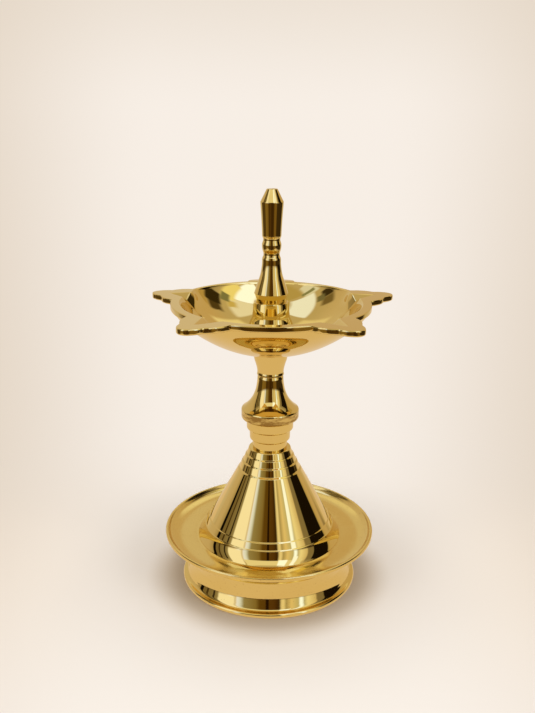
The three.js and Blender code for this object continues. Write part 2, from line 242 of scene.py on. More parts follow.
def newMaterial(name):  # the material, its node tree, its shader and the place on the object
    material = bpy.data.materials.new(name)
    material.use_nodes = True
    tree = material.node_tree
    return material, tree, tree.nodes["Principled BSDF"], nodeIn(tree, 'ShaderNodeTexCoord').outputs['Object']


# a noise is given as its scale, detail and roughness, and "From" is where on it a change starts and ends
brassLooks = {
    "bright": (0.85, 0.665, 0.255),   # freshly polished
    "deep": (0.78, 0.55, 0.15),       # a deeper tone, mixed in by the slow cloud
    "dull": (0.60, 0.41, 0.15),       # tarnish and pits
    "worn": (0.36, 0.22, 0.06),       # rubbed and darkened by fingers
    "turning": (1250.0, 5.0, 0.7),    # turning marks
    "turningDepth": 0.0011,
    "ripple": (60.0, 1.0),            # slow unevenness left by the hand polishing
    "rippleDepth": 0.010,
    "cloud": (28.0, 3.0),             # slow change from bright to deep
    "cloudFrom": (0.35, 0.75),
    "wear": (90.0, 4.0),
    "wearFrom": (0.62, 0.80),
    "pit": (1500.0, 1.0),
    "pitFrom": (0.69, 0.73),
    "scratch": (420.0, 2.0),
    "scratchStretch": (1.0, 1.0, 7.0),
    "scratchLean": (0.4, 0.25, 0.0),
    "scratchFrom": (0.55, 0.75),
    "scratchRough": 0.5,              # added roughness, as a share of the piece's own
    "wearRough": (0.8, 1.35),         # least and most roughness, as shares of the piece's own
    "wearRoughFrom": (0.35, 0.7),
}

discRub = {
    "height": (77.6, 81.7),           # of the band that fingers darken
    "radius": 12.3,
    "edge": 0.4,
    "inwardEdge": 0.2,
    "smear": (120.0, 5.0, 0.7),
    "smearStretch": (1.0, 1.0, 4.0),
    "smearFrom": (0.44, 0.58),
    "smearShare": (0.15, 1.0),
    "rougher": 0.10,
}

footFinish = {
    "top": 20.0,
    "edge": 0.5,
    "outside": 0.045,                 # roughness of the polished outside
    "inside": 0.42,                   # and of the inside, left as cast
    "wall": (37.5, 37.3),             # radius where one gives way to the other, at the table
    "lean": 0.4,                      # how fast that radius shrinks on the way up
    "leanTop": 12.0,
}


def rubbedShare(tree, place, radius, z, rub):
    (low, high), edge = rub["height"], rub["edge"]
    band = calc(tree, 'MULTIPLY', slope(tree, z, low * mm, (low + edge) * mm),
                slope(tree, z, high * mm, (high - edge) * mm))
    outer = slope(tree, radius, (rub["radius"] - rub["inwardEdge"]) * mm, rub["radius"] * mm)
    band = calc(tree, 'MULTIPLY', band, outer)
    smears = noiseOn(tree, stretched(tree, place, rub["smearStretch"]), *rub["smear"])
    return calc(tree, 'MULTIPLY', band, slope(tree, smears, *rub["smearFrom"], *rub["smearShare"]))


def turnedBrass(name, roughness, marks, tarnish, pits=0.0, rub=None, foot=None):
    material, tree, surface, place = newMaterial(name)
    looks = brassLooks
    apart = nodeIn(tree, 'ShaderNodeSeparateXYZ')
    feed(tree, apart.inputs[0], place)
    x, y, z = apart.outputs
    radius = calc(tree, 'SQRT', calc(tree, 'ADD', calc(tree, 'MULTIPLY', x, x), calc(tree, 'MULTIPLY', y, y)))
    lathe = nodeIn(tree, 'ShaderNodeCombineXYZ')  # rings: only the radius and the height count
    feed(tree, lathe.inputs[0], radius)
    feed(tree, lathe.inputs[2], z)
    rings = noiseOn(tree, lathe.outputs[0], *looks["turning"])
    wear = noiseOn(tree, place, *looks["wear"])
    cloud = noiseOn(tree, place, *looks["cloud"])
    scratches = noiseOn(tree, stretched(tree, place, looks["scratchStretch"], looks["scratchLean"]),
                        *looks["scratch"])

    deepened = slope(tree, cloud, *looks["cloudFrom"], 0.0, tarnish)
    colour = colourMix(tree, deepened, looks["bright"], looks["deep"])
    colour = colourMix(tree, slope(tree, wear, *looks["wearFrom"], 0.0, tarnish), colour, looks["dull"])
    if pits:
        spots = noiseOn(tree, place, *looks["pit"])
        colour = colourMix(tree, slope(tree, spots, *looks["pitFrom"], 0.0, pits), colour, looks["dull"])
    least, most = looks["wearRough"]
    rough = calc(tree, 'ADD', slope(tree, wear, *looks["wearRoughFrom"], roughness * least, roughness * most),
                 slope(tree, scratches, *looks["scratchFrom"], 0.0, roughness * looks["scratchRough"]))
    if rub:
        rubbed = rubbedShare(tree, place, radius, z, rub)
        colour = colourMix(tree, rubbed, colour, looks["worn"])
        rough = calc(tree, 'ADD', rough, calc(tree, 'MULTIPLY', rubbed, rub["rougher"]))
    if foot:
        low = slope(tree, z, foot["top"] * mm, (foot["top"] - foot["edge"]) * mm)
        rise = calc(tree, 'MINIMUM', z, foot["leanTop"] * mm)
        inward = calc(tree, 'ADD', radius, calc(tree, 'MULTIPLY', rise, foot["lean"]))
        wall = [limit * mm for limit in foot["wall"]]
        hidden = calc(tree, 'MULTIPLY', low, slope(tree, inward, *wall))
        colour = colourMix(tree, hidden, colour, looks["dull"])
        footRough = slope(tree, inward, *wall, foot["outside"], foot["inside"])
        change = calc(tree, 'SUBTRACT', footRough, rough)
        rough = calc(tree, 'ADD', rough, calc(tree, 'MULTIPLY', low, change))
    feed(tree, surface.inputs['Base Color'], colour)
    feed(tree, surface.inputs['Roughness'], rough)
    surface.inputs['Metallic'].default_value = 1.0
    relief = bumpOn(tree, noiseOn(tree, place, *looks["ripple"]), looks["rippleDepth"] * mm)
    relief = bumpOn(tree, rings, looks["turningDepth"] * mm * marks, over=relief)
    feed(tree, surface.inputs['Normal'], relief)
    return material


trayBrass = turnedBrass("tray brass", roughness=0.14, marks=2.0, tarnish=0.3, pits=0.7, foot=footFinish)
stemBrass = turnedBrass("stem brass", roughness=0.02, marks=0.7, tarnish=0.2)
knopBrass = turnedBrass("knop brass", roughness=0.025, marks=0.7, tarnish=0.25, rub=discRub)
bowlBrass = turnedBrass("bowl brass", roughness=0.03, marks=0.6, tarnish=0.2)
finialBrass = turnedBrass("finial brass", roughness=0.025, marks=0.8, tarnish=0.25)
studBrass = turnedBrass("stud brass", roughness=0.22, marks=1.0, tarnish=0.4)

zincLooks = {
    "bright": (0.62, 0.62, 0.60),
    "dull": (0.50, 0.51, 0.50),
    "cloud": (160.0, 4.0),
    "cloudFrom": (0.35, 0.7),
    "spangle": (900.0, 2.0),
    "spangleFrom": (0.3, 0.7),
    "spangleRough": (0.28, 0.42),
    "spangleDepth": 0.002,
}


def platedSteel(name):
    material, tree, surface, place = newMaterial(name)
    looks = zincLooks
    spangle = noiseOn(tree, place, *looks["spangle"])
    cloud = slope(tree, noiseOn(tree, place, *looks["cloud"]), *looks["cloudFrom"])
    feed(tree, surface.inputs['Base Color'], colourMix(tree, cloud, looks["bright"], looks["dull"]))
    rough = slope(tree, spangle, *looks["spangleFrom"], *looks["spangleRough"])
    feed(tree, surface.inputs['Roughness'], rough)
    surface.inputs['Metallic'].default_value = 1.0
    feed(tree, surface.inputs['Normal'], bumpOn(tree, spangle, looks["spangleDepth"] * mm))
    return material


zincSteel = platedSteel("zinc plated steel")
print("materials ready")


# foot and drip tray; a curve is given as how far it swings from the straight line and its steps

tray = {
    "footRing": (36.4, 38.8),
    "footEdge": 0.25,
    "bead": 1.2,
    "beadArc": (-90, 62, 10),     # degrees round the bead to where the heel starts, and steps
    "heel": (37.3, 3.8),
    "heelCurve": (-0.45, 6),
    "waist": (35.4, 9.3),
    "waistRound": 0.3,
    "flareCurve": (-0.28, 10),
    "underRim": (47.0, 22.6),
    "underCurve": (-3.6, 20),
    "rim": (47.7, 24.6),
    "rimStep": 0.1,               # small step under the rim
    "rimStepRound": 0.2,
    "rimRounds": (0.55, 0.6, 0.4),
    "rimWidth": 1.15,
    "cove": ((44.1, 21.65), (45.7, 22.5)),   # pulls the curve from the floor up to the rim
    "coveSteps": 18,
    "coveFoot": (38.6, 21.35),
    "floorCurve": (0.03, 6),
    "floorFoot": (32.9, 21.0),
    "plateau": (29.0, 22.2),
    "plateauRound": 0.2,
    "bore": 3.3,
    "plateUnder": 18.6,
    "roofRound": 2.4,
    "insideWall": (31.6, 10.2),
    "insideCurve": (0.5, 8),
    "steps": 192,
}


def makeTray():
    ringIn, ringOut = tray["footRing"]
    bead = tray["bead"]
    outline = [(ringIn, 0, tray["footEdge"])]
    outline += arc((ringOut, bead), bead, *tray["beadArc"])
    outline += bow(outline[-1], tray["heel"], *tray["heelCurve"])[1:]
    outline += bow(tray["heel"], tray["waist"], *tray["flareCurve"])[1:-1]
    outline += [(*tray["waist"], tray["waistRound"])]
    outline += bow(tray["waist"], tray["underRim"], *tray["underCurve"])[1:-1]
    rimRadius, rimTop = tray["rim"]
    underRadius, underHeight = tray["underRim"]
    step, (lowerRound, upperRound, innerRound) = tray["rimStep"], tray["rimRounds"]
    rimInner = (rimRadius - tray["rimWidth"], rimTop)
    outline += [(underRadius - step, underHeight, tray["rimStepRound"]),
                (rimRadius, underHeight + step, lowerRound), (rimRadius, rimTop, upperRound),
                (*rimInner, innerRound)]
    outline += sweep(rimInner, tray["cove"][1], tray["cove"][0], tray["coveFoot"], tray["coveSteps"])[1:]
    outline += bow(tray["coveFoot"], tray["floorFoot"], *tray["floorCurve"])[1:-1]
    plateauRadius, plateauTop = tray["plateau"]
    outline += [tray["floorFoot"], (plateauRadius, tray["floorFoot"][1]),
                (plateauRadius, plateauTop, tray["plateauRound"]),
                (tray["bore"], plateauTop), (tray["bore"], tray["plateUnder"])]
    wallRadius, wallHeight = tray["insideWall"]
    outline += [(wallRadius, tray["plateUnder"], tray["roofRound"]), (wallRadius, wallHeight)]
    outline += bow((wallRadius, wallHeight), (ringIn, 0), *tray["insideCurve"])[1:-1]
    outline += [outline[0]]
    piece = turn("tray_and_foot", outline, tray["steps"])
    smooth(piece)
    finish(piece, "pedestal", "base_tray", trayBrass)


makeTray()


# stepped cone

cone = {
    "bore": 3.3,
    "seat": (5.8, 61.2),
    "plateUnder": 59.5,
    "skirtBore": 29.4,
    "skirtBoreTop": 22.6,
    "skirt": (32.8, 21.0),
    "skirtRounds": (0.2, 0.25),   # inner and outer corner on the tray
    "skirtCurve": (-0.5, 10),
    "skirtTop": (29.5, 26.5),
    "band": ((29.1, 26.8), (27.6, 29.3)),
    "slope": ((27.2, 29.6), (14.3, 53.3)),
    "collars": (((13.6, 53.9), (12.5, 56.9)), ((11.9, 57.4), (10.9, 60.1)), ((10.3, 60.6), (9.55, 62.7))),
    "topCurve": (0.28, 5),
    "top": (8.7, 63.5),
    "edge": 0.12,                 # of the band, the slope and the collars
    "wall": 2.7,
    "insideRounds": (0.8, 0.6),
    "steps": 192,
}


def makeCone():
    edge = cone["edge"]
    innerRound, outerRound = cone["skirtRounds"]
    innerCorner = (cone["skirtBore"], cone["skirt"][1], innerRound)
    outline = [innerCorner, (*cone["skirt"], outerRound)]
    outline += bow(cone["skirt"], cone["skirtTop"], *cone["skirtCurve"])[1:-1]
    outline += [(*corner, edge) for corner in (cone["skirtTop"], *cone["band"], *cone["slope"])]
    outline += [(*corner, edge) for collar in cone["collars"] for corner in collar]
    outline[-1] = cone["collars"][-1][1]
    outline += bow(cone["collars"][-1][1], cone["top"], *cone["topCurve"])[1:]
    seatRadius, seatHeight = cone["seat"]
    outline += [(seatRadius, cone["top"][1]), (seatRadius, seatHeight), (cone["bore"], seatHeight),
                (cone["bore"], cone["plateUnder"])]
    # the inside follows the slope, one wall away from it
    (footRadius, footHeight), (headRadius, headHeight) = cone["slope"]
    lean = (footRadius - headRadius) / (headHeight - footHeight)
    innerTop = headRadius - lean * (cone["plateUnder"] - headHeight) - cone["wall"]
    innerHeight = cone["band"][0][1]
    innerFoot = footRadius + lean * (footHeight - innerHeight) - cone["wall"]
    topRound, footRound = cone["insideRounds"]
    outline += [(innerTop, cone["plateUnder"], topRound), (innerFoot, innerHeight, footRound),
                (cone["skirtBore"], cone["skirtBoreTop"]), innerCorner]
    piece = turn("stepped_cone", outline, cone["steps"])
    smooth(piece)
    finish(piece, "pedestal", "cone_stem", stemBrass)


makeCone()


# knop

knop = {
    "bore": 3.3,
    "spigot": (5.5, 61.5),
    "spigotRound": 0.2,
    "seat": 63.5,
    "neck": ((7.7, 63.5), (7.8, 67.3)),
    "neckRound": 0.15,
    "lowerStep": ((9.0, 67.4), (9.15, 72.2)),
    "upperStep": ((10.4, 72.3), (10.45, 77.2)),
    "stepRounds": (1.0, 0.2),     # lower and upper corners
    "disc": ((12.78, 77.25), (12.8, 82.0)),
    "discRounds": (1.25, 0.6),
    "bell": ((12.3, 82.25), (11.6, 82.75), (10.97, 83.3), (10.1, 84.15), (9.27, 85.1), (8.6, 86.0),
             (8.04, 86.9), (7.5, 87.95), (7.08, 89.0), (6.74, 89.9), (6.49, 90.7), (6.27, 91.7),
             (6.1, 92.7), (5.95, 93.7), (5.85, 94.6), (5.76, 95.8), (5.69, 96.9)),
    "groove": (5.35, 97.45),
    "band": ((5.98, 97.85), (5.74, 99.1)),
    "bandRound": 0.1,
    "steps": 160,
}


def makeKnop():
    spigotFoot = (knop["bore"], knop["spigot"][1])
    outline = [spigotFoot, (*knop["spigot"], knop["spigotRound"]), (knop["spigot"][0], knop["seat"])]
    outline += [(*corner, knop["neckRound"]) for corner in knop["neck"]]
    for part, rounds in (("lowerStep", "stepRounds"), ("upperStep", "stepRounds"), ("disc", "discRounds")):
        outline += [(*corner, rounding) for corner, rounding in zip(knop[part], knop[rounds])]
    outline += list(knop["bell"])
    outline += [(*corner, knop["bandRound"]) for corner in (knop["groove"], *knop["band"])]
    outline += [(knop["bore"], knop["band"][1][1]), spigotFoot]
    piece = turn("knop_turning", outline, knop["steps"])
    smooth(piece)
    finish(piece, "pedestal", "knop", knopBrass)


makeKnop()


# oil bowl

bowl = {
    "joint": 99.1,
    "bore": 3.3,
    "neckBoreTop": 107.3,
    "neck": ((5.8, 99.1), (5.87, 100.1), (6.0, 100.8), (6.17, 101.5), (6.35, 102.2), (6.55, 102.9),
             (6.77, 103.6), (7.02, 104.3), (7.22, 105.15), (7.36, 105.95), (7.45, 106.7), (7.56, 107.25),
             (7.8, 107.7), (8.25, 108.05), (8.9, 108.33)),
    "sphereCentre": 162.6,
    "outerSphere": 55.0,
    "innerSphere": 52.7,
    "sphereEnd": 28.0,     # from here the wall bends up, steeper towards the rim
    "wallBend": (38.6, 121.5),
    "wallTop": (41.6, 127.2),
    "wallSteps": 14,       # in the sphere, and again in the bend
    "wallFillet": ((41.68, 127.45), (41.78, 127.68), (41.92, 127.86), (42.06, 127.96)),
    "mouth": 42.2,
    "plateUnder": 128.0,
    "plateTop": 130.4,
    "rim": 43.15,
    "edgeInset": 0.3,      # rounding of the plate's edge
    "edgeRows": ((0.15, 0.1), (0.05, 0.28), (0.0, 0.55), (0.0, 0.95), (0.0, 1.4), (0.0, 1.85),
                 (0.05, 2.14), (0.15, 2.31)),   # each in from the edge and up the plate
    "innerRim": 41.2,
    "innerRimRound": 0.8,
    "innerFillet": ((41.68, 130.33), (41.42, 130.15), (41.26, 129.9)),
    "fineInside": (32.5, 22),    # rows lie closer from the rim in to here
    "coarseRows": 13,
    "rolledLip": ((39.6, 130.4), (37.6, 130.4), (36.7, 125.2)),  # the wider lip at the sides and the front
    "rolledEnd": 34.3,           # radius where it meets the inside again
    "rolledTo": (112.0, 126.0),  # degrees from the front where it gives way to the plain one
    "bossFoot": 16.5,
    "boss": ((14.6, 111.75), (13.2, 112.65), (12.2, 113.6), (11.3, 115.0), (10.6, 116.6), (10.1, 118.2),
             (9.75, 119.9), (9.3, 121.2), (8.95, 122.1), (8.15, 123.75), (8.05, 124.5), (7.55, 130.0),
             (7.35, 130.38), (7.05, 130.5)),
    "bossBoreBottom": 120.7,
    "sectors": 5,
    "columns": 120,        # in each sector
    "arcColumns": 12,      # of these, between a spout's corner and the next sector
    "plateRows": 24,
    "smoothAngle": 35,
    "onFace": 0.01,        # a vertex this near a face counts as on it
    "onLining": 0.05,
    "onRow": 0.005,
}

spouts = {
    "first": 36.0,         # degrees from the front, then every 72 degrees
    "sideAngle": 90,       # degrees from the front to +x, where angles about the axis start
    "reach": (58.35, 56.95, 57.55, 55.75, 58.35),
    "halfAngle": 15.3,
    "notchBack": 6.6,
    "notchHalf": 6.0,
    "tipHalf": 2.8,
    "tipLength": 1.0,
    "tipSteps": 16,
    "rootSwell": (-1.2, 24),
    "tipSwell": (-0.5, 12),
    "channelBack": 8.6,
    "channelDeep": 41.0,
    "channelDepth": 2.4,
    "channelHalf": 4.7,
    "dart": 34.7,
    "dartReach": 3,        # how much further in the channel may still cut
    "soften": 0.4,
    "droop": (0, 0, 1.0, 0, 0),
    "droopFrom": 44.0,
    "droopHaste": 1.6,     # above 1, the droop is full before the tip
    "filing": 0.13,        # unevenness of the hand-filed edge, a sum of random waves
    "filingSeed": 11,
    "filingWaves": 12,
    "filingTurns": (19, 84),
    "filingSize": (0.3, 1.0),
    "filingLean": (-1.6, 1.6),
    "filingSpread": 6,
}


def sphereHeight(radius, distance):
    return bowl["sphereCentre"] - math.sqrt(radius ** 2 - distance ** 2)


def onSphere(radius, start, end, count):  # rows from one distance to another, without the first
    distances = [start + (end - start) * i / count for i in range(1, count + 1)]
    return [(distance, sphereHeight(radius, distance)) for distance in distances]


def levelRows(start, end, height):
    rows = bowl["plateRows"]
    return [(start + (end - start) * i / rows, height) for i in range(rows + 1)]


def bowlSection():
    outline = [(0, bowl["neckBoreTop"]), (bowl["bore"], bowl["neckBoreTop"]), (bowl["bore"], bowl["joint"])]
    outline += list(bowl["neck"])
    outline += onSphere(bowl["outerSphere"], bowl["neck"][-1][0], bowl["sphereEnd"], bowl["wallSteps"])
    outline += pulled(outline[-1], bowl["wallBend"], bowl["wallTop"], bowl["wallSteps"])[1:]
    outline += list(bowl["wallFillet"])
    edge = bowl["rim"] - bowl["edgeInset"]
    outline += levelRows(bowl["mouth"], edge, bowl["plateUnder"])
    outline += [(bowl["rim"] - off, bowl["plateUnder"] + up) for off, up in bowl["edgeRows"]]
    outline += levelRows(edge, bowl["innerRim"] + bowl["innerRimRound"], bowl["plateTop"])
    outline += list(bowl["innerFillet"])
    outline += [(bowl["innerRim"], sphereHeight(bowl["innerSphere"], bowl["innerRim"]))]
    fineEnd, fineRows = bowl["fineInside"]
    outline += onSphere(bowl["innerSphere"], bowl["innerRim"], fineEnd, fineRows)
    outline += onSphere(bowl["innerSphere"], fineEnd, bowl["bossFoot"], bowl["coarseRows"])
    outline += list(bowl["boss"])
    outline += [(bowl["bore"], bowl["boss"][-1][1]), (bowl["bore"], bowl["bossBoreBottom"]),
                (0, bowl["bossBoreBottom"])]
    return outline


def spoutEdge(reach):  # one half of a spout's edge, corner to tip, as (along, across)
    angle = math.radians(spouts["halfAngle"])
    corner = (bowl["rim"] * math.cos(angle), bowl["rim"] * math.sin(angle))
    notch = (reach - spouts["notchBack"], spouts["notchHalf"])
    shoulder = (reach - spouts["tipLength"], spouts["tipHalf"])
    otherShoulder = (shoulder[0], -shoulder[1])
    tip = bow(shoulder, otherShoulder, -spouts["tipLength"], spouts["tipSteps"])
    edge = bow(corner, notch, *spouts["rootSwell"])
    edge += bow(notch, shoulder, *spouts["tipSwell"])[1:]
    edge += tip[1:len(tip) // 2 + 1]
    return edge


def sectorEdge(spout):
    # for each column of one sector, a point of the rim's edge and the way in from it, as (along, across)
    half = bowl["columns"] // 2
    onArc = bowl["arcColumns"]
    edge = spoutEdge(spouts["reach"][spout])
    lengths = [0.0]
    for p, q in zip(edge, edge[1:]):
        lengths.append(lengths[-1] + math.dist(p, q))
    sectorHalf = 180 / bowl["sectors"]
    columns = []
    for i in range(onArc):
        angle = math.radians(sectorHalf + (spouts["halfAngle"] - sectorHalf) * i / onArc)
        columns.append((bowl["rim"] * math.cos(angle), bowl["rim"] * math.sin(angle)))
    for i in range(half - onArc + 1):
        target = lengths[-1] * i / (half - onArc)
        k = min(max(j for j in range(len(lengths)) if lengths[j] <= target + 1e-9), len(edge) - 2)
        t = (target - lengths[k]) / (lengths[k + 1] - lengths[k])
        columns.append(tuple(edge[k][n] + (edge[k + 1][n] - edge[k][n]) * t for n in (0, 1)))
    columns += [(u, -v) for u, v in reversed(columns[1:-1])]
    placed = []
    for i, point in enumerate(columns):
        if 0 < i < len(columns) - 1:
            du, dv = (columns[i + 1][n] - columns[i - 1][n] for n in (0, 1))
        else:
            du, dv = point[1], -point[0]
        length = math.hypot(du, dv)
        placed.append((point, (dv / length, -du / length)))
    return placed


def softMin(a, b, width):
    h = max(width - abs(a - b), 0.0) / width
    return min(a, b) - h * h * width / 4


def channelHeight(along, across, reach, deep):  # a v-shaped trough, falling from the spout into the bowl
    depth = spouts["channelDepth"]
    lowest = bowl["plateTop"] - depth
    side = depth * abs(across) / spouts["channelHalf"]
    if along >= deep:
        return lowest + side + depth * (along - deep) / (reach - spouts["channelBack"] - deep)
    foot = sphereHeight(bowl["innerSphere"], spouts["dart"])
    return lowest + side + (lowest - foot) * (along - deep) / (deep - spouts["dart"])


def onInside(radius, z):
    return z > min(sphereHeight(bowl["innerSphere"], radius), bowl["plateTop"]) - bowl["onLining"]


def rolledRows():  # each row of the plain lip, and where it goes on the rolled one
    flat = bowl["innerRim"] + bowl["innerRimRound"]
    plain = [point for point in bowlSection()
             if bowl["rolledEnd"] < point[0] <= flat + bowl["onRow"] and onInside(*point)]
    plain = sorted(plain, key=lambda point: -point[0])
    return list(zip(plain, sweep(*bowl["rolledLip"], plain[-1], len(plain) - 1)))


def rolledShare(fromFront):  # 1 where the lip is the wide rolled one, 0 where it is the plain one
    start, end = bowl["rolledTo"]
    share = min(max((end - fromFront) / (end - start), 0), 1)
    return share * share * (3 - 2 * share)


def rollLip(radius, z, rows, share):
    near = bowl["onRow"]
    for (plainRadius, plainHeight), (rolledRadius, rolledHeight) in rows:
        if abs(radius - plainRadius) < near and abs(z - plainHeight) < near:
            return radius + share * (rolledRadius - radius), z + share * (rolledHeight - z)
    return radius, z


def filingWaves():
    random.seed(spouts["filingSeed"])
    return [(random.uniform(0, fullTurn), random.randint(*spouts["filingTurns"]),
             random.uniform(*spouts["filingSize"]), random.uniform(*spouts["filingLean"]))
            for _ in range(spouts["filingWaves"])]


def filedAway(waves, column, total, z):  # how far the file has gone in at this place of the edge
    wave = sum(size * math.sin(phase + turns * column / total * fullTurn + lean * z)
               for phase, turns, size, lean in waves)
    return spouts["filing"] * (0.5 + min(max(wave / spouts["filingSpread"], -0.5), 0.5))


def droopOf(spout, along, z):
    start, reach = spouts["droopFrom"], spouts["reach"][spout]
    share = min((along - start) / (reach - start) * spouts["droopHaste"], 1)
    return spouts["droop"][spout] * share * (z - bowl["plateUnder"]) / (bowl["plateTop"] - bowl["plateUnder"])


def makeBowl():
    total = bowl["columns"] * bowl["sectors"]
    piece = turn("oil_bowl_cast", bowlSection(), total)
    rolled = rolledRows()
    edges = [sectorEdge(spout) for spout in range(bowl["sectors"])]
    waves = filingWaves()
    slack = bowl["onFace"]
    flatStart = bowl["innerRim"] + bowl["innerRimRound"]
    flatEnd = bowl["rim"] - bowl["edgeInset"]
    rolledTop = bowl["rolledLip"][0][0]
    midPlate = (bowl["plateUnder"] + bowl["plateTop"]) / 2
    for vertex in piece.data.vertices:
        x, y, z = (c / mm for c in vertex.co)
        radius = math.hypot(x, y)
        if radius < slack:
            continue
        column = round(math.degrees(math.atan2(y, x)) / 360 * total) % total
        spout, place = divmod(column, bowl["columns"])
        edge, inward = edges[spout][place]
        angle = math.atan2(edge[1], edge[0])
        heading = math.radians(spouts["first"] + 360 / bowl["sectors"] * spout - spouts["sideAngle"])
        bearing = math.degrees(heading - angle) + spouts["sideAngle"]
        share = rolledShare(abs((bearing + 180) % 360 - 180))
        plateFace = radius > flatStart and z > bowl["plateTop"] - slack
        wallFace = spouts["dart"] - spouts["dartReach"] < radius <= flatStart + slack and onInside(radius, z)
        if wallFace:
            radius, z = rollLip(radius, z, rolled, share)
        along, across = radius * math.cos(angle), radius * math.sin(angle)
        low = flatStart if z > midPlate else bowl["mouth"]
        if radius > low:  # the plate stretches out to the scalloped edge
            start = flatStart + share * (rolledTop - flatStart) if z > midPlate else bowl["mouth"]
            inset = bowl["edgeInset"] if radius < flatEnd else bowl["rim"] - radius
            inset += filedAway(waves, column, total, z)
            out = min((radius - low) / (flatEnd - low), 1)
            startAlong, startAcross = start * math.cos(angle), start * math.sin(angle)
            along = startAlong + out * (edge[0] + inward[0] * inset - startAlong)
            across = startAcross + out * (edge[1] + inward[1] * inset - startAcross)
            if along > spouts["droopFrom"]:
                z -= droopOf(spout, along, z)
        if plateFace or wallFace:
            deep = spouts["channelDeep"] - share * (bowl["innerRim"] - rolledTop)
            z = softMin(z, channelHeight(along, across, spouts["reach"][spout], deep), spouts["soften"])
        # across points back round the bowl, so the columns keep their order
        vertex.co = Vector((along * math.cos(heading) + across * math.sin(heading),
                            along * math.sin(heading) - across * math.cos(heading), z)) * mm
    piece.data.update()
    pick(piece)
    bpy.ops.object.mode_set(mode='EDIT')
    closeUp(piece)
    smooth(piece, bowl["smoothAngle"])
    finish(piece, "bowl", "oil_bowl", bowlBrass)


makeBowl()


# finial

finial = {
    "joint": 130.5,
    "bore": 3.3,
    "boreTop": 139.3,
    "collar": ((6.65, 130.5), (6.6, 132.25)),
    "bellEdge": (7.38, 134.2),
    "edge": 0.12,            # of the collar and the bell
    "bell": ((6.82, 135.8), (6.29, 137.5), (5.86, 138.75), (5.48, 139.9), (5.14, 140.8), (4.85, 141.7),
             (4.63, 142.6), (4.45, 143.5), (4.32, 144.3), (4.2, 145.3), (4.08, 146.3), (4.0, 147.4)),
    "lip": ((4.02, 148.5), (3.9, 149.45)),
    "lipRounds": (0.3, 0.25),
    "groove": ((3.6, 150.0), (3.43, 150.75), (3.5, 151.5)),
    "bead": ((3.78, 152.3), (3.97, 153.1), (4.08, 153.9), (4.13, 154.6), (4.1, 155.3)),
    "waist": ((3.85, 156.1), (3.66, 156.7), (3.62, 157.4)),
    "shaftFoot": (4.08, 158.6),
    "shaftFootRound": 0.2,
    "shaft": ((4.1, 159.6), (4.16, 161.0), (4.25, 162.8), (4.35, 164.7), (4.5, 167.2), (4.66, 169.5),
              (4.8, 171.3)),
    "tip": ((4.9, 172.7), (2.26, 178.0)),
    "tipRound": 0.15,
    "steps": 128,
}


def makeFinial():
    outline = [(0, finial["boreTop"]), (finial["bore"], finial["boreTop"]), (finial["bore"], finial["joint"])]
    outline += [(*corner, finial["edge"]) for corner in (*finial["collar"], finial["bellEdge"])]
    outline += list(finial["bell"])
    outline += [(*corner, rounding) for corner, rounding in zip(finial["lip"], finial["lipRounds"])]
    outline += [*finial["groove"], *finial["bead"], *finial["waist"]]
    outline += [(*finial["shaftFoot"], finial["shaftFootRound"]), *finial["shaft"]]
    outline += [(*corner, finial["tipRound"]) for corner in finial["tip"]]
    outline += [(0, finial["tip"][1][1])]
    piece = turn("finial_turning", outline, finial["steps"])
    smooth(piece)
    finish(piece, "finial", "finial", finialBrass)


makeFinial()


# screws, washer and nut

fasteners = {
    "radius": 2.95,
    "rootRadius": 2.45,
    "rodPitch": 1.0,
    "studPitch": 1.5,
    "crestShare": 1 / 8,     # flat at crest and root, as a share of the pitch
    "spareTurns": 2,         # cut off again past each end
    "leadIn": 0.5,
    "leadDrop": 0.1,         # how far the lead-in starts below the thread's root
    "sameVertex": 0.001,
    "steps": 40,
    "washer": (3.3, 8.0),
    "washerBevel": 0.15,
    "washerSides": 96,
    "nutAcrossFlats": 10.0,
    "nutSides": 6,
    "nutFace": 0.97,         # width of the round end face, as a share of the width across the flats
    "nutChamfer": 30,
    "nutBore": 3.12,
    "blankSides": 96,
    "blankSpare": 0.01,
    "countersink": (1.7, 1, 0.5),    # wider, past the face and down into the nut
    "drillSides": 48,
}


def heightsOf(node):
    low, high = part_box(node)
    return low.z / mm, high.z / mm


def cutThread(name, bottom, top, pitch):
    crest, root = fasteners["radius"], fasteners["rootRadius"]
    spare = fasteners["spareTurns"]
    start = bottom - spare * pitch
    flat = pitch * fasteners["crestShare"]
    crestMiddle = start + pitch / 2
    piece = drawOutline(name, [(root, start), (root, start + flat), (crest, crestMiddle - flat / 2),
                               (crest, crestMiddle + flat / 2), (root, start + pitch)])
    bpy.ops.object.mode_set(mode='OBJECT')
    bpy.ops.object.modifier_add(type='SCREW')
    helix = piece.modifiers[-1]
    helix.axis = 'Z'
    helix.angle = fullTurn
    helix.screw_offset = pitch * mm
    helix.iterations = math.ceil((top - bottom) / pitch) + 2 * spare
    helix.steps = helix.render_steps = fasteners["steps"]
    helix.use_merge_vertices = True
    helix.merge_threshold = fasteners["sameVertex"] * mm
    bpy.ops.object.modifier_apply(modifier=helix.name)
    bpy.ops.object.mode_set(mode='EDIT')
    bpy.ops.mesh.select_all(action='SELECT')
    bpy.ops.mesh.remove_doubles(threshold=fasteners["sameVertex"] * mm)
    for height, isBottom in ((bottom, True), (top, False)):
        bpy.ops.mesh.select_all(action='SELECT')
        bpy.ops.mesh.bisect(plane_co=(0, 0, height * mm), plane_no=(0, 0, 1), use_fill=True,
                            clear_inner=isBottom, clear_outer=not isBottom)
    return closeUp(piece)


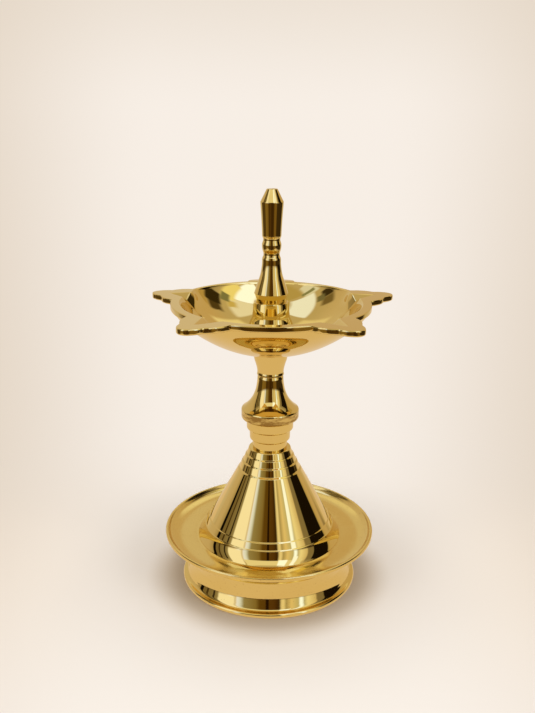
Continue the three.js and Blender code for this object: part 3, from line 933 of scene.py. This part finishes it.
def threadedRod(name, node, pitch, body, material):
    bottom, top = heightsOf(node)
    piece = cutThread(name, bottom, top, pitch)
    # the ends are filed to a short taper
    crest, start = fasteners["radius"], fasteners["rootRadius"] - fasteners["leadDrop"]
    for vertex in piece.data.vertices:
        depth = min(vertex.co.z / mm - bottom, top - vertex.co.z / mm)
        radius = math.hypot(vertex.co.x, vertex.co.y) / mm
        limit = start + (crest - start) * min(max(depth, 0) / fasteners["leadIn"], 1)
        if radius > limit:
            vertex.co.x *= limit / radius
            vertex.co.y *= limit / radius
    smooth(piece)
    finish(piece, body, node, material)


threadedRod("tie_rod_thread", "tie_rod", fasteners["rodPitch"], "pedestal", zincSteel)
for stud, rider in (("bowl_stud", "bowl_screw"), ("finial_stud", "finial_screw")):
    threadedRod(stud + "_thread", stud, fasteners["studPitch"], rider, studBrass)


def makeWasher():
    bottom, top = heightsOf("base_washer")
    inner, outer = fasteners["washer"]
    bevel = fasteners["washerBevel"]
    corners = ((inner, bottom), (outer, bottom), (outer, top), (inner, top), (inner, bottom))
    piece = turn("tray_washer", [(*corner, bevel) for corner in corners], fasteners["washerSides"])
    smooth(piece)
    finish(piece, "nut_screw", "base_washer", zincSteel)


def makeNut():
    bottom, top = heightsOf("base_nut")
    sides = fasteners["nutSides"]
    flat = fasteners["nutAcrossFlats"] / 2
    corner = flat / math.cos(math.pi / sides)
    face = flat * fasteners["nutFace"]
    chamfer = (corner - face) * math.tan(math.radians(fasteners["nutChamfer"]))
    outer = corner + fasteners["blankSpare"]
    blank = turn("nut_blank", [(0, bottom), (face, bottom), (outer, bottom + chamfer),
                               (outer, top - chamfer), (face, top), (0, top)], fasteners["blankSides"])
    bore = fasteners["nutBore"]
    wider, past, down = fasteners["countersink"]
    drill = turn("nut_drill", [(0, bottom - past), (bore + wider, bottom - past), (bore, bottom + down),
                               (bore, top - down), (bore + wider, top + past), (0, top + past)],
                 fasteners["drillSides"])
    deselectAll()
    bpy.ops.mesh.primitive_cylinder_add(vertices=sides, radius=corner * mm, depth=(top - bottom) * mm,
                                        location=(0, 0, (bottom + top) / 2 * mm),
                                        rotation=(0, 0, math.radians(180 / sides)))
    piece = bpy.context.object
    piece.name = piece.data.name = "tray_nut"
    bpy.ops.object.transform_apply(location=True, rotation=True, scale=True)
    for operation, tool in (('INTERSECT', blank), ('DIFFERENCE', drill)):
        bpy.ops.object.modifier_add(type='BOOLEAN')
        cut = piece.modifiers[-1]
        cut.operation, cut.object, cut.solver = operation, tool, 'EXACT'
        bpy.ops.object.modifier_apply(modifier=cut.name)
        bpy.data.objects.remove(tool)
    smooth(piece)
    finish(piece, "nut", "base_nut", zincSteel)


makeWasher()
makeNut()
print("all pieces made")


# floor, light and camera

studio = {
    "paper": (0.835, 0.785, 0.735),       # floor round the foot, where the lamps light it
    "plainPaper": (0.935, 0.86, 0.785),   # the same paper as the eye sees it further out
    "sideShadedPaper": (0.74, 0.63, 0.51),      # painted shade towards the edges of the sheet
    "topShadedPaper": (0.83, 0.74, 0.64),       # painted shade where it hangs, above the horizon
    "shadedPaper": (0.62, 0.54, 0.45),    # painted shadow close round the foot, where only light off the brass comes
    # painted shade and painted warm light: the paper as the brass mirrors it, darker and warmer than it is,
    # for the object's shade on it and light bounced off the brass
    "mirroredShadedPaper": (0.79, 0.63, 0.455),
    "paperRough": 0.9,
    "paperShine": 0.1,
    "shade": (0.059, 0.043),              # radius round the foot over which the painted shadow starts
    "sideFade": (0.12, 0.44),             # share of the way out to the side, over which the painted shade comes in
    "sideStart": 0.3,                     # keeps that share small close to the lamp
    "topFade": (-1, 9),                   # degrees above the horizon, over which the painted shade comes in
    "floorRadius": 12.0,
    "floorSides": 96,
    "floorHeight": -0.00002,
    "floorFade": (0.08, 0.2),             # from the lamp, where the lit floor turns into plain background
    "sheetSide": (0.26, 0.40),            # the brass mirrors the paper this far out, and the room beyond
    "sheetFront": (0.255, 0.28),
    "daylight": (1.0, 0.985, 0.96),       # soft light from all round on what isn't mirrored
    "diffuse": 0.46,
    "lampsAim": (0, 0, 0.05),
    "tableLine": (-3, 2),                 # degrees up where the lower room gives way to the upper
    "ceilingLine": (38, 54),
    "cameraPlace": (0.0, -0.3504, 0.2124),
    "cameraPitch": 16.94,
    "cameraYaw": 0.224,
    "cameraRoll": 0.470,
    "lens": 42.28,                        # millimetres, as the sensor
    "sensor": 36,
    "clip": (0.01, 50),
}


def makeFloor():
    deselectAll()
    bpy.ops.mesh.primitive_circle_add(vertices=studio["floorSides"], radius=studio["floorRadius"],
                                      fill_type='NGON', location=(0, 0, studio["floorHeight"]))
    floor = bpy.context.object
    floor.name = "floor_paper"
    material, tree, surface, place = newMaterial("floor paper")
    distance = nodeIn(tree, 'ShaderNodeVectorMath', operation='LENGTH')
    feed(tree, distance.inputs[0], place)
    distance = distance.outputs['Value']
    apart = nodeIn(tree, 'ShaderNodeSeparateXYZ')
    feed(tree, apart.inputs[0], place)
    aside = calc(tree, 'ABSOLUTE', apart.outputs[0])
    mirrored = nodeIn(tree, 'ShaderNodeLightPath').outputs['Is Glossy Ray']
    # painted shade: the paper darker towards the sides
    outward = calc(tree, 'DIVIDE', aside, calc(tree, 'ADD', distance, studio["sideStart"]))
    outward = slope(tree, outward, *studio["sideFade"], soft=True)
    # painted shadow: the paper darker and warmer close round the foot
    shaded = slope(tree, distance, *studio["shade"], soft=True)
    colour = colourMix(tree, outward, studio["paper"], studio["sideShadedPaper"])
    feed(tree, surface.inputs['Base Color'], colourMix(tree, shaded, colour, studio["shadedPaper"]))
    surface.inputs['Roughness'].default_value = studio["paperRough"]
    surface.inputs['Specular IOR Level'].default_value = studio["paperShine"]
    far = nodeIn(tree, 'ShaderNodeEmission')
    colour = colourMix(tree, outward, studio["plainPaper"], studio["sideShadedPaper"])
    # the brass mirrors the paper with painted shade and painted warm light from the brass
    feed(tree, far.inputs['Color'], colourMix(tree, mirrored, colour, studio["mirroredShadedPaper"]))
    shining = calc(tree, 'MAXIMUM', mirrored, slope(tree, distance, *studio["floorFade"], soft=True))
    paper = shaderMix(tree, shining, surface.outputs[0], far.outputs[0])
    side = slope(tree, aside, *studio["sheetSide"], soft=True)
    toFront = calc(tree, 'MULTIPLY', apart.outputs[1], -1.0)
    front = slope(tree, toFront, *studio["sheetFront"], soft=True)
    beyond = calc(tree, 'MULTIPLY', calc(tree, 'MAXIMUM', side, front), mirrored)
    clear = nodeIn(tree, 'ShaderNodeBsdfTransparent')
    feed(tree, tree.nodes["Material Output"].inputs[0], shaderMix(tree, beyond, paper, clear.outputs[0]))
    floor.data.materials.append(material)


# what the polished brass mirrors, by degrees round from the front (+ to the right):
# windows, doors and furniture of a plain daylit room, first above the table's height, then below
roomAbove = (
    (-180, (0.70, 0.60, 0.44)), (-112, (0.62, 0.50, 0.36)), (-104, (0.48, 0.38, 0.24)),
    (-94, (0.20, 0.15, 0.07)), (-80, (0.27, 0.22, 0.13)), (-72, (0.32, 0.27, 0.17)),
    (-69, (0.88, 0.86, 0.90)), (-58, (1.05, 1.02, 1.10)), (-51, (1.15, 1.28, 1.9)),
    (-45, (0.80, 0.72, 0.65)), (-42, (0.95, 1.1, 2.0)), (-38, (0.80, 0.95, 1.5)),
    (-33, (0.34, 0.30, 0.18)), (-17, (0.26, 0.19, 0.07)), (-12, (0.13, 0.07, 0.01)),
    (8, (0.10, 0.045, 0.008)), (15, (0.04, 0.02, 0.003)), (17, (0.80, 0.72, 0.55)),
    (20, (1.0, 0.92, 0.75)), (24, (0.48, 0.41, 0.25)), (31, (0.88, 0.74, 0.48)),
    (41, (0.62, 0.60, 0.45)), (43, (1.2, 1.5, 2.6)), (46, (1.2, 1.5, 2.6)), (49, (0.62, 0.62, 0.55)),
    (54, (1.0, 0.95, 0.75)), (66, (0.74, 0.62, 0.42)), (68, (0.26, 0.21, 0.13)),
    (110, (0.24, 0.20, 0.12)), (112, (0.56, 0.42, 0.20)), (118, (0.62, 0.47, 0.28)),
)
roomBelow = (
    (-180, (0.74, 0.66, 0.56)), (-124, (0.64, 0.55, 0.42)), (-116, (0.10, 0.06, 0.02)),
    (-74, (0.08, 0.05, 0.015)), (-70, (0.25, 0.165, 0.045)), (-40, (0.21, 0.13, 0.03)),
    (-34, (0.06, 0.03, 0.006)), (-14, (0.09, 0.045, 0.01)), (0, (0.045, 0.02, 0.003)),
    (22, (0.07, 0.035, 0.008)), (27, (0.20, 0.12, 0.025)), (48, (0.20, 0.12, 0.03)),
    (54, (0.05, 0.03, 0.01)), (122, (0.04, 0.025, 0.01)), (130, (0.60, 0.48, 0.28)),
    (180, (0.74, 0.66, 0.56)),
)
ceiling = (0.58, 0.49, 0.34)
patches = {
    "doorLeft": {"round": (-102, -96), "up": (-3, 42), "tone": (0.005, 0.003, 0.001), "edge": 1.5},
    "postLeft": {"round": (-90, -87), "up": (-3, 42), "tone": (0.06, 0.035, 0.01), "edge": 1.5},
    "postRight": {"round": (-79, -76), "up": (-3, 42), "tone": (0.03, 0.02, 0.008), "edge": 1.5},
    "postMiddle": {"round": (-3.5, 0.5), "up": (-3, 42), "tone": (0.02, 0.008, 0.002), "edge": 1.5},
    "doorRight": {"round": (79, 110), "up": (-6, 41), "tone": (0.010, 0.006, 0.002), "edge": 2},
    "ceilingFront": {"round": (-44, 62), "up": (37, 57), "tone": (0.92, 0.88, 0.74), "edge": 3},
    "ceilingLamp": {"round": (17, 33), "up": (35, 57), "tone": (1.25, 1.5, 2.4), "edge": 3},
    "wallCorner": {"round": (113, 130), "up": (30, 41), "tone": (0.52, 0.37, 0.15), "edge": 4},
    "windowLeft": {"round": (-70, -47), "up": (3, 58), "tone": (1.10, 1.10, 1.20), "edge": 2},
    "windowRight": {"round": (42, 50), "up": (24, 60), "tone": (1.2, 1.4, 2.2), "edge": 3},
    "skylightLeft": {"round": (-142, -88), "up": (57, 75), "tone": (1.0, 1.15, 1.8), "edge": 3},
    "skylightMiddle": {"round": (-88, -62), "up": (52, 64), "tone": (0.82, 0.88, 1.1), "edge": 4},
    "skylightRight": {"round": (36, 98), "up": (61, 84), "tone": (1.25, 1.5, 2.6), "edge": 3},
    "skylightEnd": {"round": (98, 142), "up": (58, 77), "tone": (0.92, 0.95, 1.15), "edge": 5},
    "barEnd": {"round": (106, 121), "up": (57, 64), "tone": (0.68, 0.56, 0.25), "edge": 5},
    "beamLeft": {"round": (-80, -30), "up": (65, 90), "tone": (0.52, 0.42, 0.20), "edge": 5},
    "lampRight": {"round": (64, 104), "up": (52, 63), "tone": (1.0, 0.95, 0.55), "edge": 4},
    "shelfLeft": {"round": (-108, -95), "up": (43, 52), "tone": (0.05, 0.035, 0.015), "edge": 3},
    "shelfLeftEnd": {"round": (-122, -108), "up": (43, 52), "tone": (0.20, 0.15, 0.07), "edge": 4},
    "shelfRightEnd": {"round": (116, 133), "up": (42, 51), "tone": (0.09, 0.06, 0.02), "edge": 4},
    "shelfRight": {"round": (102, 121), "up": (40, 52), "tone": (0.04, 0.027, 0.008), "edge": 3},
    "plantLeft": {"round": (-112, -101), "up": (50, 56), "tone": (0.20, 0.19, 0.12), "edge": 3},
    "plantMiddle": {"round": (-84, -78), "up": (55, 66), "tone": (0.28, 0.30, 0.20), "edge": 2},
    "plantRight": {"round": (94, 110), "up": (52, 59), "tone": (0.24, 0.25, 0.15), "edge": 3},
    "backLeft": {"round": (-176, -146), "up": (36, 56), "tone": (0.86, 0.78, 0.58), "edge": 5},
    "backRight": {"round": (146, 176), "up": (36, 56), "tone": (0.92, 0.86, 0.66), "edge": 5},
    "zenith": {"round": (-185, 185), "up": (78, 100), "tone": (0.64, 0.52, 0.18), "edge": 6},
}


def aroundRoom(tree, turned, tones):
    made = nodeIn(tree, 'ShaderNodeValToRGB')
    feed(tree, made.inputs[0], turned)
    stops = made.color_ramp.elements
    stops.remove(stops[-1])
    stops[0].position = 0.0
    stops[0].color = (*tones[0][1], 1)
    for degrees, colour in tones[1:]:
        stops.new((degrees + 180) / 360).color = (*colour, 1)
    return made.outputs[0]


def insidePatch(tree, bearing, height, patch):
    shares = []
    for value, (low, high) in ((bearing, patch["round"]), (height, patch["up"])):
        off = calc(tree, 'ABSOLUTE', calc(tree, 'SUBTRACT', value, (low + high) / 2))
        half, edge = (high - low) / 2, patch["edge"] / 2
        shares.append(slope(tree, off, half + edge, half - edge, soft=True))
    return calc(tree, 'MULTIPLY', *shares)


def skyLight(tree, colour, strength=1.0):
    made = nodeIn(tree, 'ShaderNodeBackground')
    feed(tree, made.inputs['Color'], colour)
    feed(tree, made.inputs['Strength'], strength)
    return made.outputs[0]


def makeWorld():
    world = bpy.data.worlds.new("studio")
    bpy.context.scene.world = world
    world.use_nodes = True
    tree = world.node_tree
    tree.nodes.clear()
    apart = nodeIn(tree, 'ShaderNodeSeparateXYZ')
    feed(tree, apart.inputs[0], nodeIn(tree, 'ShaderNodeTexCoord').outputs['Generated'])
    toFront = calc(tree, 'MULTIPLY', apart.outputs[1], -1.0)
    bearing = calc(tree, 'DEGREES', calc(tree, 'ARCTAN2', apart.outputs[0], toFront))
    height = calc(tree, 'DEGREES', calc(tree, 'ARCSINE', apart.outputs[2]))
    turned = calc(tree, 'ADD', calc(tree, 'DIVIDE', bearing, 360.0), 0.5)
    room = colourMix(tree, slope(tree, height, *studio["tableLine"], soft=True),
                     aroundRoom(tree, turned, roomBelow), aroundRoom(tree, turned, roomAbove))
    room = colourMix(tree, slope(tree, height, *studio["ceilingLine"], soft=True), room, ceiling)
    for patch in patches.values():
        room = colourMix(tree, insidePatch(tree, bearing, height, patch), room, patch["tone"])
    # painted shade: the backdrop darker above the horizon
    rising = slope(tree, height, *studio["topFade"], soft=True)
    sky = colourMix(tree, rising, studio["plainPaper"], studio["topShadedPaper"])
    # painted shade: the backdrop darker towards the sides
    outward = slope(tree, calc(tree, 'ABSOLUTE', apart.outputs[0]), *studio["sideFade"], soft=True)
    sky = colourMix(tree, outward, sky, studio["sideShadedPaper"])

    path = nodeIn(tree, 'ShaderNodeLightPath').outputs
    daylight = skyLight(tree, studio["daylight"], studio["diffuse"])
    shone = shaderMix(tree, path['Is Glossy Ray'], daylight, skyLight(tree, room))
    direct = calc(tree, 'MAXIMUM', path['Is Camera Ray'], path['Is Transmission Ray'])
    out = nodeIn(tree, 'ShaderNodeOutputWorld')
    feed(tree, out.inputs[0], shaderMix(tree, direct, shone, skyLight(tree, sky)))


lamps = {
    "overhead": {"place": (0.0, -0.05, 1.1), "size": 0.9, "power": 7.4, "colour": (1.0, 0.98, 0.95)},
    "leftWindow": {"place": (-0.9, -0.7, 0.7), "size": 0.6, "power": 2.8, "colour": (1.0, 0.99, 0.97)},
    "rightWindow": {"place": (0.9, -0.7, 0.7), "size": 0.6, "power": 3.9, "colour": (1.0, 0.99, 0.97)},
}


def makeLamps():
    for name, lamp in lamps.items():
        data = bpy.data.lights.new(name, 'AREA')
        data.shape = 'SQUARE'
        data.size = lamp["size"]
        data.energy = lamp["power"]
        data.color = lamp["colour"]
        light = bpy.data.objects.new(name, data)
        light.location = lamp["place"]
        aim = Vector(studio["lampsAim"]) - Vector(lamp["place"])
        light.rotation_euler = aim.to_track_quat('-Z', 'Y').to_euler()
        light.visible_glossy = False
        bpy.context.scene.collection.objects.link(light)


def makeCamera():
    data = bpy.data.cameras.new("camera")
    data.sensor_fit = 'VERTICAL'
    data.sensor_height = studio["sensor"]
    data.lens = studio["lens"]
    data.clip_start, data.clip_end = studio["clip"]
    camera = bpy.data.objects.new("camera", data)
    bpy.context.scene.collection.objects.link(camera)
    camera.matrix_world = (Matrix.Translation(studio["cameraPlace"])
                           @ Matrix.Rotation(math.radians(studio["cameraYaw"]), 4, 'Z')
                           @ Matrix.Rotation(math.radians(90 - studio["cameraPitch"]), 4, 'X')
                           @ Matrix.Rotation(math.radians(studio["cameraRoll"]), 4, 'Z'))
    bpy.context.scene.camera = camera


makeFloor()
makeWorld()
makeLamps()
makeCamera()
bpy.context.scene.view_settings.view_transform = 'Standard'
print("floor, light and camera set")
